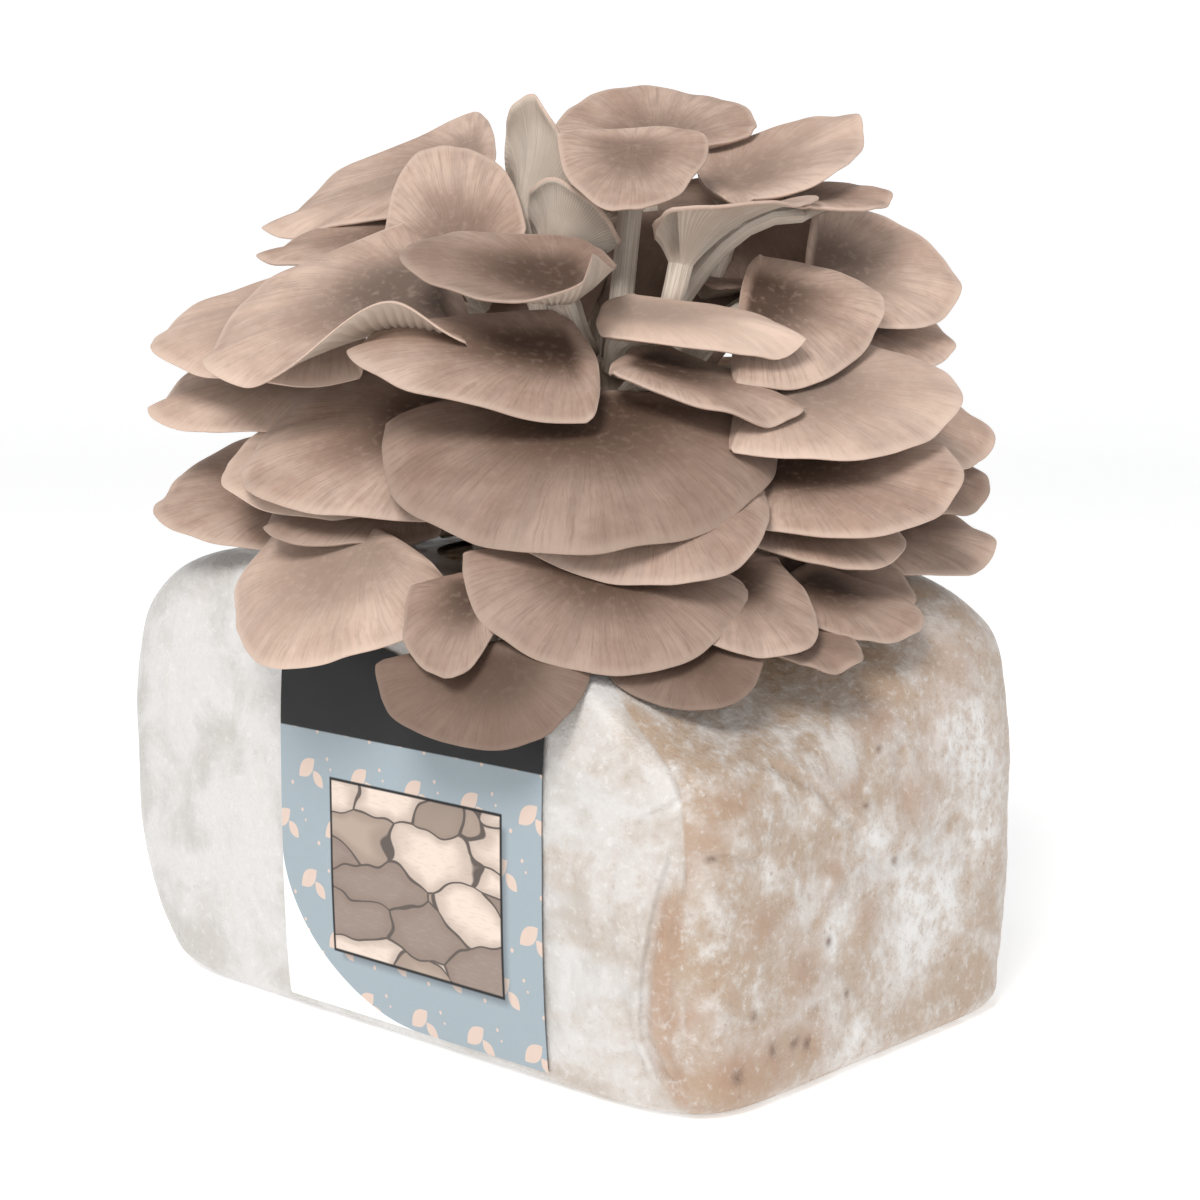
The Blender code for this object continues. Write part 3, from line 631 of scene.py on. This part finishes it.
def lineGap(u, z, points):
    # distance from every point of the grid to a line through the given points, and how far along it lies
    points = np.array(points, float)
    near, along = np.full(u.shape, 1e9), np.zeros(u.shape)
    for k in range(len(points) - 1):
        (au, az), (bu, bz) = points[k], points[k + 1]
        du, dz = bu - au, bz - az
        t = np.clip(((u - au) * du + (z - az) * dz) / (du * du + dz * dz), 0, 1)
        gap = np.hypot(u - au - t * du, z - az - t * dz)
        along = np.where(gap < near, (k + t) / (len(points) - 1), along)
        near = np.minimum(near, gap)
    return near, along


# folds as lines of (way round from the near upright edge, height) in mm; minus is the label side
bagFolds = [
    (((-24, 83), (-30, 67), (-32.6, 56), (-29, 38), (-25, 23), (-21, 12), (-13, 5)), 1.1, 2.2),
    (((-10, 83), (-12, 70), (-15, 59), (-18.5, 42), (-20, 24), (-14.6, 12), (-10, 8)), 2.4, 1.3),
    (((-9, 59), (-10, 42), (-11.4, 27), (-9, 8)), 1.0, 1.4),
    (((-1.5, 106), (-10.8, 101), (-18, 93), (-24, 83)), 1.0, 1.8),
    (((32, 119), (54, 98), (67, 76), (74, 67)), 1.2, 2.0),
    (((0, 79), (14, 74), (34, 67)), 0.8, 1.6),
    (((128, 67), (101, 57.5), (76, 58.5), (60, 52)), 1.1, 2.0),
    (((24, 4), (49, 5), (69, 1.5)), 1.0, 2.0),
    (((100, 110), (92, 92), (96, 70)), 0.6, 2.6),
    (((40, 44), (56, 33), (80, 30)), 0.6, 1.8),
    (((86, 20), (104, 26), (124, 22)), 0.7, 2.4),
    (((-60, 8), (-110, 5), (-150, 6)), 0.6, 2.6),
    (((-232, 40), (-224, 70), (-230, 100)), 0.7, 3.5),
]
brownSpots = [(8, 83, 9), (2, 68, 7), (47, 35, 8), (17, 13, 9), (99, 76, 10), (125, 109, 12), (20, 100, 8), (60, 60, 6),
              (34, 12, 10), (70, 90, 7), (112, 96, 9), (6, 30, 6), (88, 112, 9), (52, 14, 6), (30, 52, 7), (76, 44, 6),
              (-14, 30, 5), (-12, 48, 4)]
whiteSpots = [(134, 84, 14), (120, 94, 13), (115, 41, 14), (62, 43, 8), (100, 30, 12), (48, 84, 7), (80, 68, 8),
              (135, 60, 12), (96, 50, 9), (30, 66, 5), (72, 10, 8)]
# painted glints of the film, as (way round, height, width)
paintedGlints = [(57.5, 58, 2), (43.6, 60.7, 2), (11, 33, 2), (-11, 101, 2.5), (62, 76, 2), (76, 88, 1.6)]
darkPits = [(43, 16, 2.2), (49, 14, 1.8), (34, 16, 1.8), (20.5, 11.5, 2.0), (58, 41, 1.6), (75, 81, 1.5),
            (84, 102, 1.4), (26, 27, 1.4), (67, 24, 1.3), (52, 22, 1.6), (12, 74, 1.5), (90, 58, 1.3)]
# brown painted shade in the tucked pocket at the near corner, and where the warm tone starts at each height
pocketShadeLine = ((-12, 60), (-14.5, 40), (-15, 20), (-10, 7))
warmFrom = dict(height=(0, 8, 12, 24, 42, 59, 70, 83, 100, 137),
                at=(-8, -10, -14.6, -20, -18.5, -15, -12, -10, -18, -30))
# way round: the near end's place and width, and a value past every mark for the far end
wayRound = dict(nearEnd=115.0, nearFace=-90.0, endWidth=167.0, farEnd=600.0, atCorner=0.7071)


def spread(u, z, spots):
    total = np.zeros(u.shape)
    for su, sz, wide in spots:
        total = total + np.exp(-((u - su) ** 2 + (z - sz) ** 2) / wide ** 2)
    return np.clip(total, 0, 1)


def bagAngles(count):
    # column angles that share the way round evenly, twice as close on the near end and its corner
    fine = np.linspace(0, tau, 6001)
    ring = bagPoint(fine, np.full(fine.shape, bag["waist"]))
    step = np.hypot(*np.diff(ring[:, :2], axis=0).T)
    middle = ring[:-1]
    weight = 1 + 1.3 * ((middle[:, 0] > 60) & (middle[:, 1] < 75))
    run = np.concatenate([[0], np.cumsum(step * weight)])
    return np.interp(np.linspace(0, run[-1], count, endpoint=False), run, fine)


def makeBag():
    look, way = bag, wayRound
    angle = bagAngles(look["columns"])[None, :]
    inset, high, low = look["inset"], look["highEdge"], look["lowEdge"]
    shoulder = look["top"] - high
    phi = np.linspace(0, math.pi / 2, 22)[:, None]
    side = np.linspace(shoulder, low, look["sideRings"])[1:-1, None]
    bottom = low - low * np.sin(np.linspace(0, math.pi / 2, 9))[:, None]
    height = np.clip(np.concatenate([shoulder + high * np.cos(phi), side, bottom]), 0, look["top"]) + 0 * angle
    turn = angle + 0 * height
    smooth = bagPoint(turn, height, inset)
    x, y = smooth[..., 0], smooth[..., 1]
    # way round from the near upright edge: minus along the label side, plus along the near end and the far side
    u = np.where(np.sin(turn) > way["atCorner"], way["nearEnd"] + way["endWidth"] - x, y - way["nearFace"])
    u = np.where(np.sin(turn) < -way["atCorner"], x - way["nearEnd"], u)
    u = np.where(np.cos(turn) < -0.7, way["farEnd"], u)
    dent = np.zeros(x.shape)
    for points, deep, wide in bagFolds:
        gap, along = lineGap(u, height, points)
        fade = ramp(along / 0.12) * ramp((1 - along) / 0.12) * 0.85 + 0.15
        dent += deep * fade * (np.exp(-(gap / wide) ** 2) - 0.35 * np.exp(-((gap - 2.2 * wide) / wide) ** 2))
    # broad slack of the film: crossed waves, more on the near end
    amount = look["waveDepth"] * (0.5 + 0.9 * ramp((x - 60) / 40))
    broad = np.sin(u * 0.11 + height * 0.05 + 1) * np.sin(height * 0.13 + u * 0.03)
    broad = broad + 0.6 * np.sin(u * 0.23 - height * 0.17)
    broad = broad + 0.4 * np.sin(u * 0.41 + height * 0.33 + 2) * np.sin(height * 0.29 - 0.6)
    fadeEnds = ramp((height - 3) / 12) * ramp((136 - height) / 20)
    dent = dent + 2.2 * np.exp(-(u / 8) ** 2)  # the near upright edge is slack
    dent = (dent + amount * (1 + 0.5 * broad)) * fadeEnds
    # where the medium stands highest, the film is raised to clear it
    lift = np.exp(-((x - 94) / 13) ** 2 - ((y + 26) / 13) ** 2) * ramp((height - 90) / 10)
    deepest = look["deepestDent"]
    dent = deepest * np.tanh(np.maximum(dent, 0) / deepest) * (1 - lift)
    points = bagPoint(turn, height, inset + dent - 1.9 * lift)
    # top: straight from the opening's oval to the first ring, as on the CAD film, and never below the sagging top
    middle, radii = np.array(look["openingMiddle"]), np.array(look["opening"])
    oval = middle + radii * np.stack([np.cos(angle[0]), np.sin(angle[0])], -1)
    oval = np.concatenate([oval, sag(oval[:, 0], oval[:, 1], look["top"])[:, None] - 0.1], -1)
    share = np.linspace(0, 1, 13)[:-1, None, None]
    lid = oval * (1 - share) + points[0] * share
    lid[..., 2] = np.maximum(lid[..., 2], sag(lid[..., 0], lid[..., 1], look["top"]) - 0.4)
    pole = np.array((*look["middle"], look["floorGap"]))
    under = points[-1] * (1, 1, 0) + (0, 0, look["floorGap"])
    inner = np.stack([under * s + pole * (1 - s) for s in (0.9, 0.6, 0.3)])
    rings = np.concatenate([lid, points, inner])
    rings[..., 2] = np.maximum(rings[..., 2], look["floorGap"])
    place = [len(lid), len(points), len(inner)]

    def field(grid, above, below):
        # the marks lie on the sides, with one value on the lid and one underneath
        wide = grid.shape[1]
        return np.concatenate([np.full((place[0], wide), above), grid, np.full((place[2], wide), below)])

    brown = spread(u, height, brownSpots)
    # brown painted shade along the tucked pocket of the near corner
    pocketShade = np.exp(-(lineGap(u, height, pocketShadeLine)[0] / 3.6) ** 4)
    wobble = 5 * np.sin(height * 0.11 + 1) + 3 * np.sin(height * 0.31) + 1.5 * np.sin(height * 0.83 + 2)
    edgeAt = np.interp(height, warmFrom["height"], warmFrom["at"])
    soft = 2.5 + 26 * ramp((height - 80) / 30)
    near = np.maximum(ramp((u - edgeAt + 0.3 * wobble * ramp((height - 75) / 20)) / soft),
                      0.5 * ramp((u + 62 + 3 * wobble) / 40)) * (1 - ramp((u - 165 + 3 * wobble) / 60))
    # the white field holds real white spots where the warm tone lies, plus painted glints of the film
    whiteSpotsAndGlints = spread(u, height, whiteSpots) * near + spread(u, height, paintedGlints) * 0.8
    # the brown field holds real brown spots, plus the painted shade in the pocket
    fields = dict(stainAndPocketShade=(field(np.clip(brown * near + 0.9 * pocketShade, 0, 1), 0.35, 0.2), 0, 0.2),
                  whiteSpotsAndGlints=(field(whiteSpotsAndGlints, 0.0, 0.1), 0, 0.1),
                  near=(field(near, 0.5, 0.3), 0, 0.3),
                  pit=(field(spread(u, height, darkPits), 0, 0), 0, 0))
    piece = surface("fine_bag_film", rings, (bagFinish(),), wrap=True, end=pole, fields=fields)
    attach(piece, "root")
    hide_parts("bag_film")


def bagFinish():
    # clear film over white growth: pale mottling, warm stains and dark pits at the near end, brown painted shade in the
    # tucked pocket at the near corner, painted glints of the film, thin gloss
    look = bag
    finish, tree, shader = newFinish("bagOverGrowth", look["roughness"], 0.45)
    place = put(tree, "TexCoord").outputs["Object"]
    stainsAndPocketShade, whiteSpotsAndGlints, near, pits = (put(tree, "Attribute", attribute_name=key).outputs["Fac"]
                                  for key in ("stainAndPocketShade", "whiteSpotsAndGlints", "near", "pit"))
    cloud = grain(tree, place, 38, 6, 0.62, 0.4)
    fine = grain(tree, place, 150, 6, 0.68)
    drift = put(tree, "TexNoise", {"Vector": place, "Scale": 45.0, "Detail": 4.0}).outputs["Color"]
    crinkle = put(tree, "TexVoronoi", {"Vector": blendColour(tree, 0.02, place, drift, "ADD"), "Scale": 62.0},
                  feature="DISTANCE_TO_EDGE").outputs["Distance"]
    streak = grain(tree, stretched(tree, place, (90, 90, 22)), 1.0, 4, 0.6)
    specks = put(tree, "TexVoronoi", {"Vector": place, "Scale": 260.0}, feature="F1").outputs["Distance"]
    base = blendColour(tree, between(tree, cloud, 0.34, 0.6), look["grey"], look["white"])
    base = blendColour(tree, times(tree, between(tree, streak, 0.52, 0.74), 0.28), base, (0.56, 0.51, 0.46))
    blotch = calc(tree, "ADD", times(tree, cloud, 0.55), times(tree, fine, 0.45))
    warm = times(tree, near, between(tree, blotch, 0.6, 0.4, 0.3, 0.95))
    base = blendColour(tree, warm, base, look["warm"])
    grow = times(tree, near, times(tree, between(tree, fine, 0.5, 0.68), 0.4))
    base = blendColour(tree, grow, base, (0.66, 0.62, 0.58))
    # brown stains, with painted shade in the near corner's pocket
    stainAndPocketShade = times(tree, stainsAndPocketShade, between(tree, fine, 0.3, 0.6, 0.25, 0.85))
    base = blendColour(tree, stainAndPocketShade, base, look["brown"])
    # white spots, with painted glints of the film
    whiteSpotsAndGlints = times(tree, whiteSpotsAndGlints, between(tree, fine, 0.35, 0.6, 0.3, 0.85))
    base = blendColour(tree, whiteSpotsAndGlints, base, look["bleached"])
    grit = grain(tree, place, 380, 5, 0.7)
    crumbs = calc(tree, "ADD", near, 0.15, clamp=True)
    crumbs = times(tree, crumbs, between(tree, grit, 0.54, 0.7, 0, 0.5))
    base = blendColour(tree, crumbs, base, (0.34, 0.24, 0.17))
    base = blendColour(tree, between(tree, grit, 0.46, 0.32, 0, 0.35), base, look["bleached"])
    dots = times(tree, near, between(tree, cloud, 0.5, 0.36, 0, 0.55))
    dots = times(tree, between(tree, specks, 0.24, 0.1), dots)
    base = blendColour(tree, dots, base, (0.30, 0.20, 0.14))
    base = blendColour(tree, times(tree, pits, between(tree, fine, 0.35, 0.55)), base, (0.16, 0.10, 0.07))
    tree.links.new(base, shader.inputs["Base Color"])
    tree.links.new(between(tree, fine, 0.3, 0.7, 0.25, 0.5), shader.inputs["Roughness"])
    ridge = times(tree, between(tree, crinkle, 0.12, 0.0), times(tree, near, 0.1))
    lumps = calc(tree, "ADD", times(tree, cloud, 1.2), times(tree, fine, 0.8))
    relief(tree, shader, calc(tree, "ADD", lumps, ridge), 0.6, 0.0018)
    return finish


makeBag()
print("bag made")


def mediumFinish():
    # sawdust bound by white threads, with brown crumbs
    finish, tree, shader = newFinish("grownSawdust", 0.9, 0.2)
    place = put(tree, "TexCoord").outputs["Object"]
    cloud = grain(tree, place, 60, 6, 0.65)
    crumb = put(tree, "TexVoronoi", {"Vector": place, "Scale": 320.0}).outputs["Distance"]
    base = blendColour(tree, between(tree, cloud, 0.4, 0.62), (0.38, 0.26, 0.17), (0.72, 0.67, 0.60))
    base = blendColour(tree, between(tree, crumb, 0.35, 0.15, 0, 0.5), base, (0.24, 0.15, 0.09))
    tree.links.new(base, shader.inputs["Base Color"])
    relief(tree, shader, calc(tree, "SUBTRACT", cloud, crumb), 0.8, 0.002)
    return finish


sawdust = mediumFinish()
medium = bpy.data.objects.get("substrate_block")
for slotOf in medium.material_slots:
    slotOf.material = sawdust
if not medium.material_slots:
    medium.data.materials.append(sawdust)

# label

label = dict(left=-48.0, right=61.0, bottom=5.0, top=118.0, gap=0.45, thick=0.2, blue=(0.30, 0.355, 0.39),
             black=(0.012, 0.012, 0.013), motif=(0.62, 0.49, 0.42), cream=(0.70, 0.585, 0.51),
             taupe=(0.39, 0.31, 0.255), line=(0.10, 0.08, 0.07), white=(0.93, 0.93, 0.93), picture=(-25.0, 45.0, 24.0, 75.5), pictureEdge=0.9,
             bandFrom=89.3, repeat=(23.0, 17.0), cornerSize=(56.0, 46.0), cornerPower=0.62)


def labelFinish():
    # all drawn by sums on the label's own millimetres: band, field, frame with pebbles, leaves, dots, corner
    look = label
    finish, tree, shader = newFinish("labelPrint", 0.5, 0.25)
    sheet = put(tree, "Attribute", attribute_name="sheet").outputs["Vector"]
    axes = put(tree, "SeparateXYZ", {0: sheet})
    x, z = axes.outputs["X"], axes.outputs["Y"]

    def inside(value, low, high, soft=0.25):
        above = between(tree, value, low - soft, low + soft)
        return times(tree, above, between(tree, value, high + soft, high - soft))

    def box(left, right, foot, head, soft=0.25):
        return times(tree, inside(x, left, right, soft), inside(z, foot, head, soft))

    def inRepeat(value, size):
        # place within a repeat, from minus half to plus half of its size
        part = calc(tree, "FRACT", calc(tree, "DIVIDE", value, size))
        return calc(tree, "SUBTRACT", times(tree, part, size), size / 2)

    base = blendColour(tree, grain(tree, sheet, 0.9, 2, 0.5), look["blue"], tuple(v * 1.05 for v in look["blue"]))
    # motifs on a staggered grid: a leaf, its stalk and three dots
    wide, tall = look["repeat"]
    row = calc(tree, "FLOOR", calc(tree, "DIVIDE", z, tall))
    stagger = times(tree, calc(tree, "MODULO", row, 2.0), wide / 2)
    fx, fz = inRepeat(calc(tree, "ADD", x, stagger), wide), inRepeat(z, tall)

    def leaf(px, pz, rx, rz, turned):
        a, b = calc(tree, "SUBTRACT", fx, px), calc(tree, "SUBTRACT", fz, pz)
        c, s = math.cos(turned), math.sin(turned)
        p = calc(tree, "ADD", times(tree, a, c / rx), times(tree, b, s / rx))
        q = calc(tree, "ADD", times(tree, a, -s / rz), times(tree, b, c / rz))
        # a lens: |q| below 1 - p squared
        edge = calc(tree, "SUBTRACT", calc(tree, "SUBTRACT", 1.0, times(tree, p, p)), calc(tree, "ABSOLUTE", q))
        return between(tree, edge, -0.04, 0.06)

    marks = calc(tree, "MAXIMUM", leaf(-1.6, 1.2, 4.6, 2.5, 0.7), leaf(3.4, -1.8, 3.2, 1.8, 2.3))
    for dx, dz, r in ((7.6, 5.0, 0.6), (-8.2, -4.2, 0.7), (9.0, 2.0, 0.45)):
        marks = calc(tree, "MAXIMUM", marks, leaf(dx, dz, r, r, 0))
    base = blendColour(tree, marks, base, look["motif"])
    # white corner at the lower left with a hollow curved side: there the powers of both shares add up to one
    powers = []
    for value, first, size in zip((x, z), (look["left"], look["bottom"]), look["cornerSize"]):
        part = calc(tree, "DIVIDE", calc(tree, "SUBTRACT", value, first), size)
        powers.append(calc(tree, "POWER", part, look["cornerPower"]))
    base = blendColour(tree, between(tree, calc(tree, "ADD", *powers), 1.006, 0.994), base, look["white"])
    # picture with a dark edge and a soft shadow: pebbles in three tones
    left, right, foot, head = look["picture"]
    shade = box(left + 3, right + 2.4, foot - 2.4, head - 3, 1.6)
    base = blendColour(tree, times(tree, shade, 0.5), base, (0.05, 0.06, 0.07))
    warped = stretched(tree, sheet, (0.036, 0.082, 1), (0.35, 0.2, 0), (0, 0, 0.35))
    wave = put(tree, "TexNoise", {"Vector": sheet, "Scale": 0.06, "Detail": 1.0}).outputs["Color"]
    pebbles = {"Vector": blendColour(tree, 0.75, warped, wave, "ADD"), "Scale": 1.0, "Randomness": 0.85}
    cells = put(tree, "TexVoronoi", pebbles, feature="F1").outputs["Color"]
    lines = put(tree, "TexVoronoi", pebbles, feature="DISTANCE_TO_EDGE").outputs["Distance"]
    pick = put(tree, "SeparateColor", {0: cells}).outputs["Red"]
    tones = blendColour(tree, between(tree, pick, 0.3, 0.34), (0.27, 0.21, 0.18), look["taupe"])
    tones = blendColour(tree, between(tree, pick, 0.56, 0.6), tones, look["cream"])
    hatch = grain(tree, stretched(tree, sheet, (0.25, 1.4, 1), turned=(0, 0, 0.6)), 1.0, 3, 0.6)
    tones = blendColour(tree, times(tree, between(tree, hatch, 0.5, 0.66), 0.22), tones, look["taupe"])
    tones = blendColour(tree, between(tree, lines, 0.26, 0.03, 0.0, 0.4), tones, (0.20, 0.145, 0.115))
    tones = blendColour(tree, between(tree, lines, 0.03, 0.014), tones, look["line"])
    edge = look["pictureEdge"]
    base = blendColour(tree, box(left - edge, right + edge, foot - edge, head + edge), base, look["black"])
    base = blendColour(tree, box(left, right, foot, head), base, tones)
    base = blendColour(tree, between(tree, z, look["bandFrom"], look["bandFrom"] + 0.5), base, look["black"])
    tree.links.new(base, shader.inputs["Base Color"])
    relief(tree, shader, grain(tree, sheet, 2.2, 2, 0.5), 0.15, 0.0003)
    return finish


def makeLabel():
    # follows the bag's front face: an outer face, and the inner face as a piece of its own
    look = label
    x = np.linspace(look["left"], look["right"], 120)[None, :]
    z = np.linspace(look["top"], look["bottom"], 122)[:, None]
    angle = np.full(z.shape, -math.pi / 2)
    face = bagPoint(angle, z)[..., 1]
    wide = 0 * x + 0 * z
    ripple = 0.05 * np.sin(x * 0.21 + z * 0.08) * np.sin(z * 0.17)

    def sheetAt(away):
        height = sag(x + wide, face + wide, z + wide)
        return np.stack([x + wide, face - away + ripple, height], -1)

    front, back = sheetAt(look["gap"] + look["thick"] - 0.06), sheetAt(look["gap"] + 0.05)
    sheet = np.stack([x + wide, front[..., 2], wide], -1)
    finish = labelFinish()
    for name, grid, flip in (("fine_label", front, False), ("fine_label_inner", back[:, ::-1], True)):
        cells = sheet[:, ::-1] if flip else sheet
        piece = surface(name, grid, (finish,), fields=dict(sheet=(cells, (0, 0, 0), (0, 0, 0))))
        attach(piece, "root")
        if not flip:
            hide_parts("label")


makeLabel()
print("label made")

# floor


def makeFloor():
    # a flat round floor whose rim curves up all the way round: one profile turned about the middle
    flat, curve = 2600, 1100
    bend = np.linspace(0.06, 1.45, 16)
    run = np.concatenate([np.linspace(flat, 200, 14)[::-1], flat + curve * np.sin(bend)])[::-1]
    rise = np.concatenate([np.zeros(14), curve * (1 - np.cos(bend))])[::-1]
    turn = np.linspace(0, tau, 96, endpoint=False)
    points = np.stack([run[:, None] * np.cos(turn), run[:, None] * np.sin(turn), rise[:, None] + 0 * turn], -1)
    finish, tree, shader = newFinish("paleFloor", 0.9, 0.1)
    shader.inputs["Base Color"].default_value = (*light["floorColour"], 1)
    shader.inputs["Emission Color"].default_value = (1, 1, 1, 1)
    shader.inputs["Emission Strength"].default_value = light["floorGlow"]
    floor = surface("studio_floor", points[:, ::-1], (finish,), wrap=True, end=np.zeros(3))


makeFloor()
